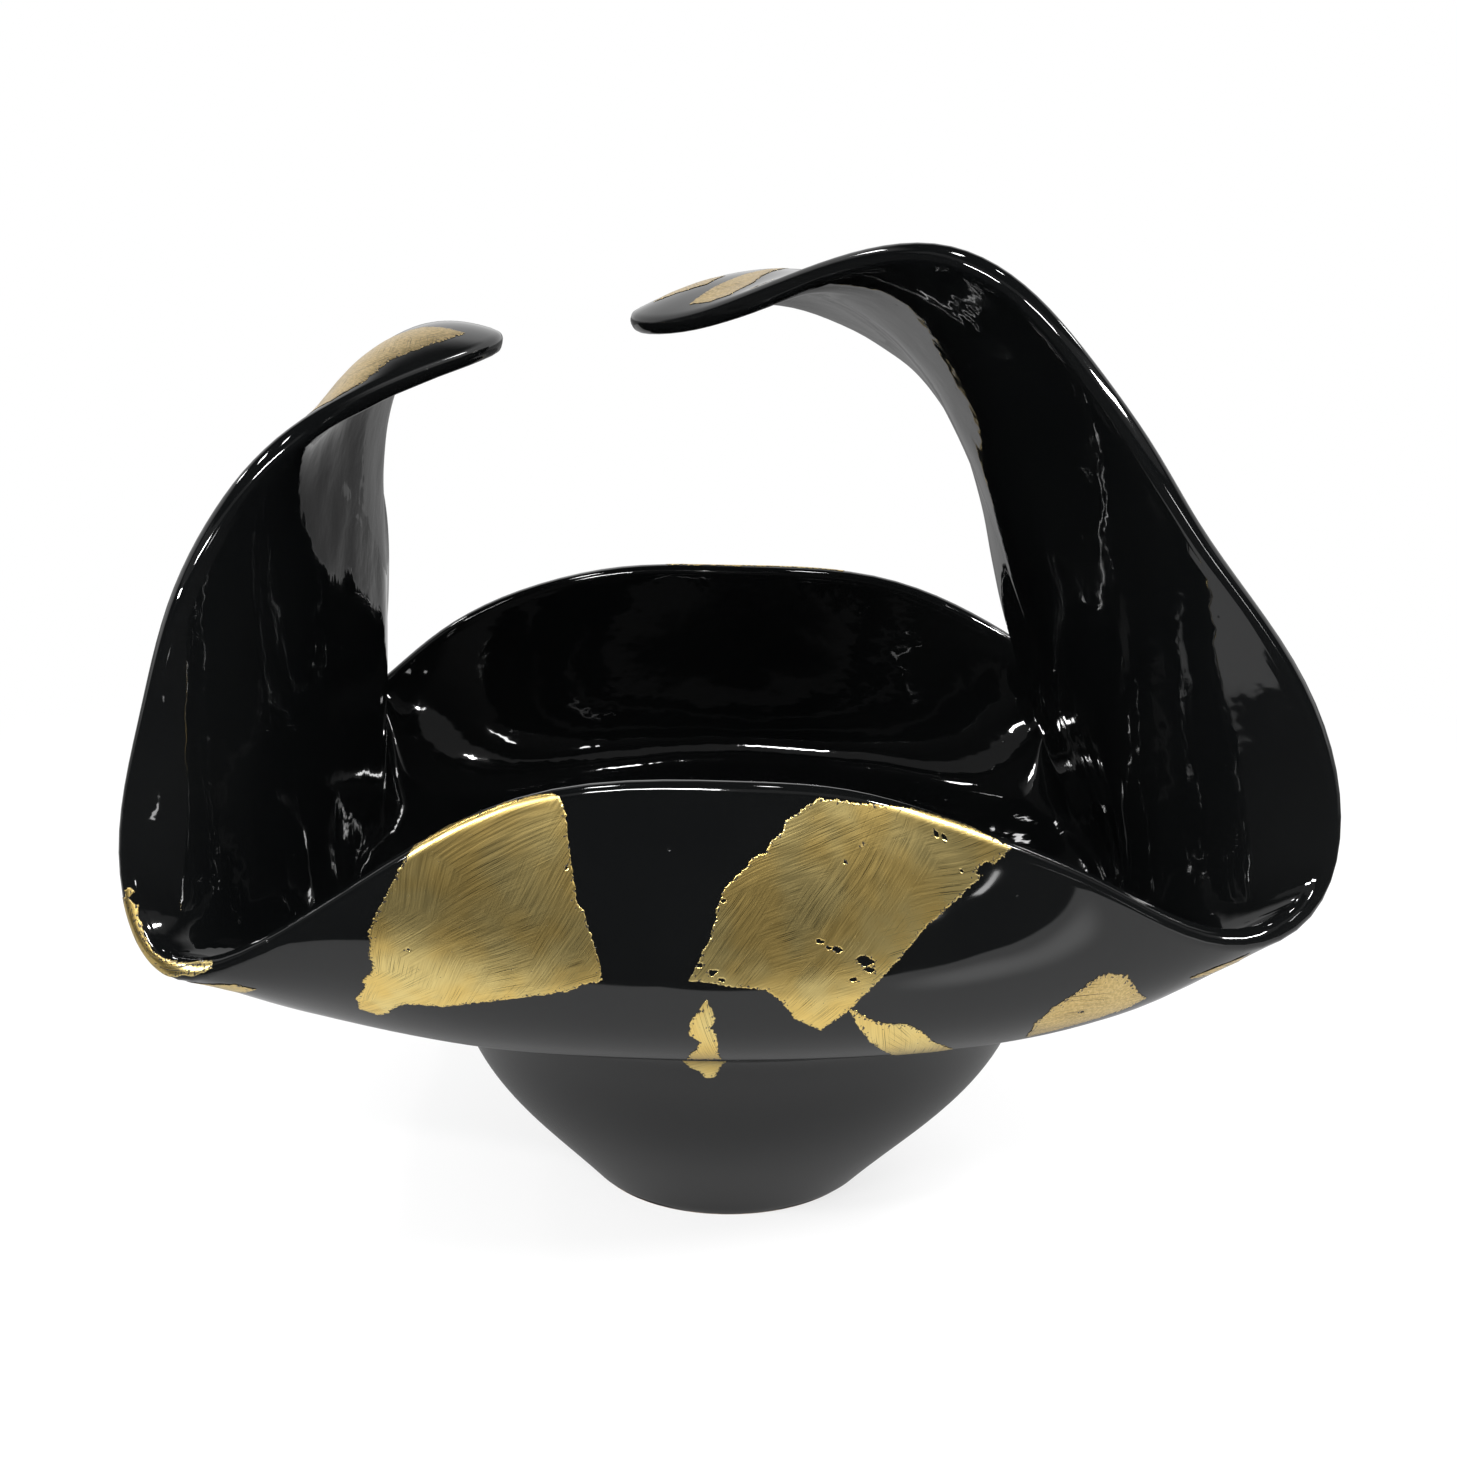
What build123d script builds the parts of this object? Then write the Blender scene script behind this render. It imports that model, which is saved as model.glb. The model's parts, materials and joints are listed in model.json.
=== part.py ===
from build123d import *
import math
import os
import numpy as np

# Free-form ceramic basket bowl: a small round foot carries a thin clay sheet drawn out into four
# spout-like corners, a front lip, a back lip and two tall arms that curl in over the bowl.
# Torn scraps of gold leaf lie on the glaze.  Millimetres, +Z up, origin at the centre of the foot,
# front lip towards -Y.

# ---------------------------------------------------------------- driving dimensions
overall_width = 365.0       # across the two front corners
overall_depth = 327.0       # across the front and back bellies
overall_height = 337.0      # foot to the crest of the right arm
wall_thickness = 7.4        # clay sheet, the same all over; the rim is its full round
foot_radius = 51.0          # outer edge of the ring it stands on
foot_slope = 45.0           # degrees the wall leans out where it leaves the foot
neck_radius = 102.0         # middle of the wall where the round bowl meets the sheet
neck_height = 90.0
neck_shift = 4.0            # the bowl leans a little to the right between foot and neck
floor_thickness = 9.0       # clay over the standing plane, at the middle of the floor
recess_radius = 39.0        # hollow turned out of the underside
recess_depth = 3.0
leaf_thickness = 0.3        # gold leaf with its lacquer

# Rings of the drawing below belong to a form of this size; the overall sizes stretch them.
DRAWN_WIDTH = 365.0
DRAWN_DEPTH = 327.0
DRAWN_HEIGHT = 337.0
DRAWN_NECK = 90.0

# The rim, middle of the sheet's edge, four stations from one key rib to the next.
RIM = {
    "front lip": [(0, -150, 186), (38, -148, 182), (75, -145, 169), (110, -142, 153)],
    "front right corner": [(145, -139, 137), (173, -131, 147), (178, -125, 180), (164, -119, 216)],
    "right arm, front edge": [(140, -113, 249), (122, -108, 277), (104, -101, 302), (86, -92, 322)],
    "right arm, crest": [(64, -77, 333), (38, -57, 330), (12, -38, 320), (-14, -19, 311)],
    "right arm, tip": [(-30, 4, 310), (-15, 26, 314), (10, 43, 317), (37, 62, 311)],
    "right arm, shoulder": [(63, 80, 297), (79, 92, 283), (92, 99, 267), (102, 105, 247)],
    "right arm, back edge": [(108, 109, 226), (113, 114, 204), (119, 120, 183), (129, 129, 163)],
    "back right corner": [(146, 138, 144), (136, 143, 154), (106, 144, 174), (60, 149, 191)],
    "back lip": [(0, 150, 195), (-50, 149, 194), (-98, 147, 181), (-131, 143, 161)],
    "back left corner": [(-152, 137, 145), (-150, 127, 162), (-144, 115, 187), (-141, 105, 211)],
    "left arm, back edge": [(-140, 96, 233), (-139, 85, 261), (-126, 66, 287), (-103, 37, 301)],
    "left arm, tip": [(-81, 2, 303), (-97, -32, 297), (-119, -63, 288), (-137, -88, 275)],
    "left arm, front edge": [(-151, -103, 257), (-163, -113, 232), (-172, -119, 200), (-179, -125, 164)],
    "front left corner": [(-172, -134, 134), (-149, -141, 130), (-109, -144, 153), (-57, -147, 181)],
}

# One key rib for each stretch of rim: the direction in which it leaves the neck (degrees), its
# distance and height on the shelf of the sheet, and its two pull points below the rim.
RIBS = {
    "front lip": (-90, (140, 103), (0, -166, 113), (0, -157, 162)),
    "front right corner": (-48, (146, 100), (119, -114, 107), (135, -128, 118)),
    "right arm, front edge": (-25, (152, 98), (131, -68, 140), (134, -92, 212)),
    "right arm, crest": (-10, (158, 98), (121, -35, 170), (101, -62, 304)),
    "right arm, tip": (2, (160, 98), (112, 2, 184), (60, 4, 357)),
    "right arm, shoulder": (14, (162, 98), (118, 35, 165), (104, 62, 270)),
    "right arm, back edge": (27, (164, 98), (131, 72, 134), (114, 100, 184)),
    "back right corner": (45, (158, 97), (128, 116, 106), (134, 130, 122)),
    "back lip": (90, (140, 103), (0, 166, 113), (0, 157, 167)),
    "back left corner": (135, (156, 97), (-126, 114, 106), (-139, 127, 124)),
    "left arm, back edge": (160, (160, 98), (-137, 64, 132), (-140, 90, 190)),
    "left arm, tip": (180, (156, 98), (-136, 0, 168), (-136, 0, 322)),
    "left arm, front edge": (200, (152, 98), (-141, -64, 140), (-150, -90, 212)),
    "front left corner": (228, (146, 99), (-124, -114, 106), (-144, -129, 118)),
}

STATIONS = 4 * len(RIM)     # stations round the rim
SEAM = 48                   # station where the loft's rings start, clear of every leaf
ROWS = 31                   # rings of the loft from foot to rim
BEAD_ROWS = 4               # rings over each half of the round of the rim, its ends included
FLOOR_SPREAD = 0.55         # the floor is nearly level over this share of the foot's radius
LEAF_REACH = 12.0           # how far a leaf's cutter goes past the highest and lowest of its outline
RIM_LEAVES = ("leaf_left_corner",)      # scraps that lie on the round of the rim alone

# Torn scraps of gold leaf, each an outline of (station round the rim, place from foot 0 to rim 1).
LEAVES = {
    "leaf_front_left": [
        (54.3, 1.0), (54.4, 1.1), (54.8, 1.1), (55.15, 1.1), (55.17, 1.0), (55.13, 0.98), (55.1, 0.965),
        (55.06, 0.947), (55.1, 0.941), (55.11, 0.905), (55.1, 0.893), (54.95, 0.892), (54.85, 0.888),
        (54.45, 0.887), (53.8, 0.89), (53.5, 0.902), (53.3, 0.896), (53.12, 0.89), (53.06, 0.907),
        (53.2, 0.925), (53.46, 0.944), (53.6, 0.948), (53.7, 0.962), (53.9, 0.98), (54.1, 0.99),
    ],
    "leaf_front_right": [
        (0.48, 0.993), (0.63, 1.0), (0.95, 1.003), (1.1, 1.1), (1.6, 1.1), (2.1, 1.1), (2.12, 1.0),
        (1.98, 0.991), (1.85, 0.984), (1.64, 0.964), (1.4, 0.942), (1.16, 0.908), (1.0, 0.886),
        (0.88, 0.866), (0.7, 0.844), (0.49, 0.856), (0.38, 0.873), (0.26, 0.882), (0.0, 0.884),
        (-0.29, 0.889), (-0.2, 0.905), (-0.12, 0.92), (-0.05, 0.944), (0.03, 0.954), (0.11, 0.96),
        (0.23, 0.969), (0.35, 0.981),
    ],
    "leaf_flame": [
        (-0.18, 0.873), (-0.14, 0.865), (-0.12, 0.855), (-0.18, 0.844), (-0.13, 0.839), (-0.12, 0.817),
        (-0.35, 0.817), (-0.27, 0.825), (-0.34, 0.838), (-0.32, 0.851), (-0.25, 0.862),
    ],
    "leaf_foot": [
        (-1.0, 0.6), (-0.19, 0.6), (-0.22, 0.565), (-0.32, 0.532), (-0.4, 0.493), (-0.47, 0.488),
        (-0.56, 0.495), (-0.65, 0.516), (-0.78, 0.527), (-0.87, 0.56),
    ],
    "leaf_bow": [
        (0.9, 0.868), (1.04, 0.863), (1.23, 0.855), (1.45, 0.855), (1.58, 0.845), (1.71, 0.829), (1.88, 0.813),
        (2.08, 0.791), (1.86, 0.767), (1.54, 0.771), (1.35, 0.799), (1.13, 0.829), (1.03, 0.847),
    ],
    "leaf_right_low": [
        (2.75, 0.825), (2.6, 0.87), (2.64, 0.9), (2.88, 0.936), (3.04, 0.951), (3.28, 0.956), (3.5, 0.94),
        (3.68, 0.934), (3.5, 0.905), (3.25, 0.88), (3.0, 0.85),
    ],
    "leaf_right_corner": [(3.95, 0.966), (4.1, 0.98), (4.32, 0.995), (4.36, 0.983), (4.15, 0.97)],
    "leaf_left_corner": [
        (51.3, 1.002), (51.3, 1.1), (52.0, 1.1), (52.6, 1.1), (52.95, 1.1), (52.95, 1.004), (52.4, 0.99),
        (51.8, 0.99),
    ],
    "leaf_left_strip": [(52.05, 0.972), (52.3, 0.979), (52.75, 0.975), (53.05, 0.965), (52.7, 0.962), (52.3, 0.965)],
    "leaf_left_tip": [
        (44.4, 0.995), (44.35, 0.98), (44.6, 0.968), (45.2, 0.965), (45.7, 0.97), (46.1, 0.98), (46.45, 0.994),
        (46.2, 1.0), (45.8, 0.998), (45.3, 0.992), (45.0, 0.993),
    ],
    "leaf_right_tip_a": [(15.95, 0.997), (16.2, 0.992), (16.1, 0.987), (15.84, 0.983), (15.6, 0.988), (15.75, 0.992)],
    "leaf_right_tip_b": [
        (15.1, 0.997), (15.28, 0.99), (15.4, 0.984), (15.75, 0.969), (15.4, 0.974), (15.0, 0.983), (14.7, 0.989),
        (14.55, 0.997), (14.75, 0.998),
    ],
    "leaf_back_lip": [
        (31.2, 1.1), (31.9, 1.1), (32.5, 1.1), (32.6, 0.99), (32.4, 0.965), (32.45, 0.94), (32.1, 0.915),
        (31.8, 0.9), (31.6, 0.92), (31.3, 0.93), (31.35, 0.96), (31.1, 0.985),
    ],
    "leaf_back_low": [(30.2, 0.87), (30.3, 0.85), (30.7, 0.83), (31.0, 0.81), (31.1, 0.83), (30.8, 0.86), (30.5, 0.88)],
}


# ---------------------------------------------------------------- the form
def stretched(points):
    """The drawn points at the overall width, depth and height, measured from the neck upward."""
    x, y, z = np.array(points, float).T
    rise = (overall_height - neck_height) / (DRAWN_HEIGHT - DRAWN_NECK)
    return np.stack([
        x * overall_width / DRAWN_WIDTH,
        y * overall_depth / DRAWN_DEPTH,
        neck_height + (z - DRAWN_NECK) * rise,
    ], axis=-1)


def closed_curve(points, where):
    """Closed smooth cubic curve through points at whole numbers, read at the numbers in where."""
    points = np.array(points, float)
    pull = points.copy()
    for _ in range(60):
        pull = (6 * points - np.roll(pull, 1, axis=0) - np.roll(pull, -1, axis=0)) / 4
    first = np.floor(where).astype(int)
    u = (where - first)[:, None]
    weights = [(1 - u) ** 3, 3 * u ** 3 - 6 * u ** 2 + 4, 1 + 3 * u + 3 * u ** 2 - 3 * u ** 3, u ** 3]
    return sum(w / 6 * pull[(first - 1 + k) % len(pull)] for k, w in enumerate(weights))


def rib_weights(t, count):
    """Weights of a clamped cubic B-spline of count pull points at the places t, 0 at the foot."""
    knots = np.concatenate([[0] * 3, np.linspace(0, 1, count - 2), [1] * 3])
    t = np.clip(t, 0, 1 - 1e-9)
    steps = [((a <= t) & (t < b)).astype(float) for a, b in zip(knots[:-1], knots[1:])]
    for degree in (1, 2, 3):
        raised = []
        for i in range(len(steps) - 1):
            up, down = knots[i + degree] - knots[i], knots[i + degree + 1] - knots[i + 1]
            grow = (t - knots[i]) / up * steps[i] if up else 0 * t
            fade = (knots[i + degree + 1] - t) / down * steps[i + 1] if down else 0 * t
            raised.append(grow + fade)
        steps = raised
    return np.array(steps)


def body_profile():
    """(radius, height, sideways lean) of the pull points of the round bowl, middle of the wall."""
    half = wall_thickness / 2
    slope = math.radians(foot_slope)
    foot = np.array([foot_radius - half * math.sin(slope), half * math.cos(slope)])
    neck = np.array([neck_radius, neck_height])
    rows = [(foot[0], foot[1], 0.0)]
    for out, up, lean in ((0.16, 0.11, 0.12), (0.47, 0.30, 0.35), (0.81, 0.54, 0.75), (0.985, 0.77, 1.0)):
        at = foot + (neck - foot) * (out, up)
        rows.append((at[0], at[1], lean * neck_shift))
    return rows + [(neck[0], neck[1], neck_shift)]


def pull_rings(stations):
    """The closed rings of pull points, foot first and rim last, read at stations round the rim."""
    keys = stations / 4
    count = len(RIBS)
    turn = 360 / count * np.arange(count) - 90
    swing = closed_curve([[rib[0] - a] for rib, a in zip(RIBS.values(), turn)], keys)[:, 0]
    angle = np.radians(360 / count * keys - 90 + swing)
    ray = np.stack([np.cos(angle), np.sin(angle)], axis=-1)
    level = np.ones((len(stations), 1))
    rings = [np.hstack([ray * r + (lean, 0), level * z]) for r, z, lean in body_profile()]
    shelf = closed_curve([rib[1] for rib in RIBS.values()], keys)
    shelf = np.hstack([ray * shelf[:, :1] + (neck_shift, 0), shelf[:, 1:]])
    rings.append(stretched(shelf))
    rings += [closed_curve(stretched([rib[k] for rib in RIBS.values()]), keys) for k in (2, 3)]
    rings.append(closed_curve(stretched([p for stretch in RIM.values() for p in stretch]), stations))
    return rings


def sheet(stations, t):
    """Middle of the clay sheet: rows from foot (t 0) to rim (t 1), columns at the stations."""
    rings = pull_rings(np.asarray(stations, float))
    return np.einsum("kt,ksc->tsc", rib_weights(np.asarray(t, float), len(rings)), np.array(rings))


def outward(stations, t):
    """Unit normals of the sheet, pointing out of the bowl."""
    step = 0.02
    inner, outer = np.clip(np.asarray(t, float) - 1e-3, 0, 1), np.clip(np.asarray(t, float) + 1e-3, 0, 1)
    along = sheet(np.add(stations, step), t) - sheet(np.subtract(stations, step), t)
    up = sheet(stations, outer) - sheet(stations, inner)
    normal = np.cross(along, up)
    return normal / np.linalg.norm(normal, axis=-1, keepdims=True)


def bead(stations, angles, lift=0.0):
    """Rows over the full-round rim: 0 degrees is the outer face, 90 the edge, 180 the inner face."""
    normal = outward(stations, [1.0])[0]
    edge = sheet(stations, [1.0])[0]
    along = sheet(np.add(stations, 0.02), [1.0])[0] - sheet(np.subtract(stations, 0.02), [1.0])[0]
    over = np.cross(normal, along)
    over /= np.linalg.norm(over, axis=-1, keepdims=True)
    over *= np.sign(np.sum(over * (edge - sheet(stations, [0.99])[0]), axis=-1, keepdims=True))
    radius = wall_thickness / 2 + lift
    return [edge + radius * (normal * math.cos(a) + over * math.sin(a)) for a in np.radians(angles)]


# ---------------------------------------------------------------- skins and rings
def even_rows(count):
    """Places from foot to rim that are evenly far apart along the sheet."""
    fine = np.linspace(0, 1, 400)
    step = np.linalg.norm(np.diff(sheet(np.arange(STATIONS), fine), axis=0), axis=2)
    run = np.concatenate([[0], np.cumsum(step.mean(axis=1) + step.max(axis=1))])
    return np.interp(np.linspace(0, run[-1], count), run, fine)


def ring_wire(points):
    """Closed smooth wire through one ring of points."""
    places = [k / len(points) for k in range(len(points) + 1)]
    return Wire([Edge.make_spline([Vector(*p) for p in points], periodic=True, parameters=places)])


def lofted(rings):
    """The face of a smooth loft through a list of rings."""
    return Shell.make_loft([ring_wire(ring) for ring in rings]).faces()[0]


def level_ring(ring, radius, height):
    """The ring's own directions from the axis of the foot, set on a level circle."""
    ray = ring[:, :2] / np.linalg.norm(ring[:, :2], axis=1, keepdims=True)
    return np.hstack([ray * radius, np.full((len(ring), 1), height)])


def skins():
    """Rings of the outer skin (foot to rim), of the rim's outer and inner half and of the inner skin."""
    stations = np.arange(STATIONS) + SEAM
    rows = even_rows(ROWS)
    middle, normal = sheet(stations, rows), outward(stations, rows)
    outer = list(middle + normal * wall_thickness / 2)
    inner = list(middle - normal * wall_thickness / 2)[::-1]
    over, down = bead(stations, np.linspace(0, 90, BEAD_ROWS)), bead(stations, np.linspace(90, 180, BEAD_ROWS))
    outer[0] = level_ring(outer[0], foot_radius, 0)
    outer[-1], inner[0] = over[0], down[-1]
    return outer, over, down, inner


# ---------------------------------------------------------------- the pieces
def make_body(outer, over, down, inner):
    """The fired clay body: both skins, the round of the rim and the floor sewn into one solid."""
    floor = [
        inner[-2],
        level_ring(inner[-1], FLOOR_SPREAD * foot_radius, floor_thickness + 1),
        level_ring(inner[-1], 5, floor_thickness),
    ]
    faces = [lofted(rings) for rings in (outer, over, down, inner[:-1], floor)]
    faces += [Face(ring_wire(outer[0])), Face(ring_wire(floor[-1]))]
    recess = Pos(0, 0, recess_depth / 2) * Cylinder(recess_radius, recess_depth)
    return Solid(Shell(faces)) - recess


def spot(station, t):
    """A place on the outer skin; past t = 1 it runs on over the rim, a tenth being 10 mm."""
    on_sheet = min(t, 1.0)
    normal = outward([station], [on_sheet])[0, 0]
    point = sheet([station], [on_sheet])[0, 0] + normal * wall_thickness / 2
    edge, crest = bead([station], [0, 90])
    beyond = (crest - edge)[0] + normal * wall_thickness / 2
    return point + beyond / np.linalg.norm(beyond) * 100 * (t - on_sheet), normal


def make_leaf(faces, outline):
    """One scrap of gold leaf: what a torn outline cuts from the glazed skin, thickened outward."""
    points, normals = (np.array(v) for v in zip(*[spot(*place) for place in outline]))
    facing = normals.mean(axis=0)
    facing /= np.linalg.norm(facing)
    depth = (points - points.mean(axis=0)) @ facing
    reach = np.abs(depth).max() + LEAF_REACH
    corners = points - np.outer(depth + reach, facing)
    cutter = Solid.extrude(Face(Wire.make_polygon([Vector(*p) for p in corners])), Vector(*facing) * 2 * reach)
    patches = [patch for face in faces for patch in (face.intersect(cutter) or [])]
    return Solid.thicken(Shell(patches) if len(patches) > 1 else patches[0], leaf_thickness)


# ---------------------------------------------------------------- build
def build():
    """Every piece by name, each a closed solid in the shared frame."""
    outer, over, down, inner = skins()
    skin, edge = lofted(outer), lofted(over)
    pieces = {"body": make_body(outer, over, down, inner)}
    for name, outline in LEAVES.items():
        pieces[name] = make_leaf([edge] if name in RIM_LEAVES else [skin, edge], outline)
    return pieces


os.makedirs("parts", exist_ok=True)
for name, piece in build().items():
    piece.label = name
    export_step(piece, os.path.join("parts", name + ".step"))
    print(name, round(piece.volume), "mm3, valid", piece.is_valid)
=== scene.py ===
# %% [markdown]
# # A free-form ceramic basket bowl, built around its CAD frame
# The object is one thin sheet of fired clay on a small round foot.  The sheet is drawn out into
# four spout-like corners, a front lip, a back lip and two tall arms that curl in over the bowl.
# A deep black glaze covers it, and torn scraps of gold leaf lie on the glaze.
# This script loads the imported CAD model, works the same form out again as fine numpy surfaces,
# and gives each piece its finish.

# %% Load the frame
import json
import math

import bpy
import numpy as np
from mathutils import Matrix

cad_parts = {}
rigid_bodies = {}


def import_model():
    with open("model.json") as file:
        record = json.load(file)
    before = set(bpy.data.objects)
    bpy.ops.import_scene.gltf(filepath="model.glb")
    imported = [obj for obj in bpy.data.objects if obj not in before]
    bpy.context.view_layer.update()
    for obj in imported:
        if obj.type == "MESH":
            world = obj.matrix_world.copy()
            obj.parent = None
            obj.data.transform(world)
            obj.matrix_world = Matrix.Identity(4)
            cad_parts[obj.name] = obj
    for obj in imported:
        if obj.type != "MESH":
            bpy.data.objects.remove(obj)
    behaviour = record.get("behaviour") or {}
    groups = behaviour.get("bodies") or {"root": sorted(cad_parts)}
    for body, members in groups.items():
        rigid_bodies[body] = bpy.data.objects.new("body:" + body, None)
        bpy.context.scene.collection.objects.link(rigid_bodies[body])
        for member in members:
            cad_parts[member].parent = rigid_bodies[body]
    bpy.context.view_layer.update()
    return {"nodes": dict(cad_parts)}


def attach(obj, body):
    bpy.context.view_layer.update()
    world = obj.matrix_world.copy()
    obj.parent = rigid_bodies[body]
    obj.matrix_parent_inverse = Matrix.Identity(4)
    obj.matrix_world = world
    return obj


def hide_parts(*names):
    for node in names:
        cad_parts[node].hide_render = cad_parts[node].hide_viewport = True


MM = 0.001
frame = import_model()
print("nodes:", ", ".join(sorted(frame["nodes"])))

# %% [markdown]
# ## Camera
# A camera about 0.7 m in front of the bowl and a little above its rim looks down by 15 degrees.
# A lens of 50 mm on a 36 mm sensor keeps the near lip larger than the far one, as the eye does.

# %% Camera
CAMERA_PLACE = (0.0, -0.701, 0.3495)
CAMERA_TILT = 75.32         # degrees from looking straight down
CAMERA_LENS = 49.8          # mm on a 36 mm sensor

camera_data = bpy.data.cameras.new("camera")
camera_data.lens = CAMERA_LENS
camera_data.sensor_width = 36.0
camera = bpy.data.objects.new("camera", camera_data)
camera.location = CAMERA_PLACE
camera.rotation_euler = (math.radians(CAMERA_TILT), 0, 0)
bpy.context.collection.objects.link(camera)
bpy.context.scene.camera = camera
bpy.context.scene.view_settings.view_transform = "Standard"


# %% [markdown]
# ## Helpers for node materials
# A material here is a small graph: coordinates go through noise and ramps into the inputs of one
# Principled shader.  These helpers add a node, fill its inputs and link them, so that each
# material below reads as a short recipe.

# %% Node helpers
def add_node(tree, kind, settings=None, **inputs):
    """Adds a node, sets its properties, and fills or links its inputs by name (_ for a space)."""
    node = tree.nodes.new(kind)
    for key, value in (settings or {}).items():
        setattr(node, key, value)
    for key, value in inputs.items():
        socket = node.inputs[int(key[1:])] if key[1:].isdigit() else node.inputs[key.replace("_", " ")]
        if isinstance(value, bpy.types.NodeSocket):
            tree.links.new(value, socket)
        else:
            socket.default_value = value
    return node


def calculate(tree, operation, a, b=0.0, c=0.0):
    """One Math node; a, b and c are numbers or sockets."""
    return add_node(tree, "ShaderNodeMath", {"operation": operation}, _0=a, _1=b, _2=c).outputs[0]


def product(tree, first, *others):
    """Multiply nodes in a row: the product of numbers and sockets."""
    for other in others:
        first = calculate(tree, "MULTIPLY", first, other)
    return first


def ease(tree, value, low, high, start=0.0, end=1.0):
    """Map Range node with a smooth step: low gives start, high gives end."""
    return add_node(
        tree, "ShaderNodeMapRange", {"interpolation_type": "SMOOTHSTEP"},
        _0=value, _1=low, _2=high, _3=start, _4=end,
    ).outputs[0]


def noise(tree, where, scale, detail):
    """Height of a Noise Texture node at a place."""
    return add_node(tree, "ShaderNodeTexNoise", Vector=where, Scale=scale, Detail=detail).outputs[0]


def on_points(tree, name):
    """A number that the mesh keeps on each of its points."""
    return add_node(tree, "ShaderNodeAttribute", {"attribute_name": name}).outputs["Fac"]


def vector_math(tree, operation, *terms):
    """One Vector Math node; the terms are vectors or sockets."""
    places = {f"_{number}": term for number, term in enumerate(terms)}
    outputs = add_node(tree, "ShaderNodeVectorMath", {"operation": operation}, **places).outputs
    return outputs["Value"] if operation == "DISTANCE" else outputs[0]


def mix_numbers(tree, factor, first, second):
    """Mix node on numbers: factor 0 gives first, factor 1 gives second."""
    return add_node(tree, "ShaderNodeMix", _0=factor, _2=first, _3=second).outputs[0]


def mix_colors(tree, factor, first, second):
    """Mix node on colours: factor 0 gives first, factor 1 gives second."""
    return add_node(tree, "ShaderNodeMix", {"data_type": "RGBA"}, _0=factor, _6=first, _7=second).outputs[2]


def new_material(name):
    """An empty node material: itself, its tree and its Principled shader."""
    material = bpy.data.materials.new(name)
    material.use_nodes = True
    tree = material.node_tree
    shader = next(n for n in tree.nodes if n.type == "BSDF_PRINCIPLED")
    return material, tree, shader


# %% [markdown]
# ## Studio
# The bowl stands on a round white table in a white room.  Black glaze shows its surroundings more
# than its own colour, so what it mirrors is set apart from what the camera sees.  The underside
# mirrors the table as a painted reflection, since the table glows for mirror rays only: bright in
# front, with one small painted sheen, half as bright on the left, with a painted shadow close to
# the foot, dim at the back, and gone past its front edge and its right end.  The upper
# faces mirror a dim room with a light back wall and a pale strip high on the front wall, and a
# few small lamps make the sparks and the long lines on the rims.

# %% Table
TABLE_RADIUS = 1.25
TABLE_WHITE = 0.85          # share of light that its matt top gives back
BACKGROUND_WHITE = 1.0      # strength of the white that the camera sees
# The numbers below paint the table's mirror image, a painted reflection: for mirror rays the table glows
# with these levels, with a painted shadow round the foot and a painted sheen.
TABLE_BRIGHT = 0.92         # the table in front, as the glaze mirrors it
TABLE_EDGE = -0.49          # its front edge in that mirror image, slanting back on the left
TABLE_RIGHT_END = (0.46, 0.44)
TABLE_LEFT = (-0.26, -0.18, 0.5)        # half as bright to the left of these places
TABLE_REAR = (-0.30, 0.25, 0.60, 0.12)  # the back fades from left to right
FOOT_SHADE = ((0, 0.06, 0), 0.085, 0.26, 0.15)      # painted shadow round the foot: its middle, its two radii, what is left inside
SHEEN = ((0.25, -0.38, 0), 0.08, 0.01, 0.8)         # painted sheen: its middle, its two radii, its strength
ROOM_FRONT = 0.06           # the room past the front edge, low down
ROOM_STRIP = 0.24           # the pale strip high on the front wall
ROOM_LIGHT = 1.1            # even light from all round on matt surfaces

table_data = bpy.data.meshes.new("table")
turn = np.linspace(0, 2 * math.pi, 128, endpoint=False)
ring = np.stack([np.cos(turn) * TABLE_RADIUS, np.sin(turn) * TABLE_RADIUS, 0 * turn], axis=-1)
table_data.from_pydata(ring.tolist(), [], [list(range(len(ring)))])
table = bpy.data.objects.new("table", table_data)
bpy.context.collection.objects.link(table)

material, tree, shader = new_material("white_table")
table_data.materials.append(material)
shader.inputs["Base Color"].default_value = (TABLE_WHITE, TABLE_WHITE, TABLE_WHITE, 1)
shader.inputs["Roughness"].default_value = 0.9
path = add_node(tree, "ShaderNodeLightPath").outputs
where = add_node(tree, "ShaderNodeTexCoord").outputs["Object"]
x, y, _ = add_node(tree, "ShaderNodeSeparateXYZ", Vector=where).outputs
# Painted shadow: for mirror rays the table glows less close to the foot.
from_foot = vector_math(tree, "DISTANCE", where, FOOT_SHADE[0])
shade = ease(tree, from_foot, *FOOT_SHADE[1:], 1.0)
# Painted darkening in the mirror image: dark past a front edge that slants back on the left and past the
# right end, and half as bright on the left.
slant = calculate(tree, "MINIMUM", calculate(tree, "ADD", x, 0.1), 0.0)
front = ease(tree, calculate(tree, "ADD", y, slant), TABLE_EDGE, TABLE_EDGE + 0.015)
front = product(tree, front, ease(tree, x, *TABLE_RIGHT_END), shade, ease(tree, x, *TABLE_LEFT, 1.0))
front = calculate(tree, "MULTIPLY_ADD", front, TABLE_BRIGHT - ROOM_FRONT, ROOM_FRONT)
# Painted sheen: a small bright patch on the table, seen only by mirror rays.
from_sheen = vector_math(tree, "DISTANCE", where, SHEEN[0])
front = calculate(tree, "ADD", front, ease(tree, from_sheen, *SHEEN[1:3], 0.0, SHEEN[3]))
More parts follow.
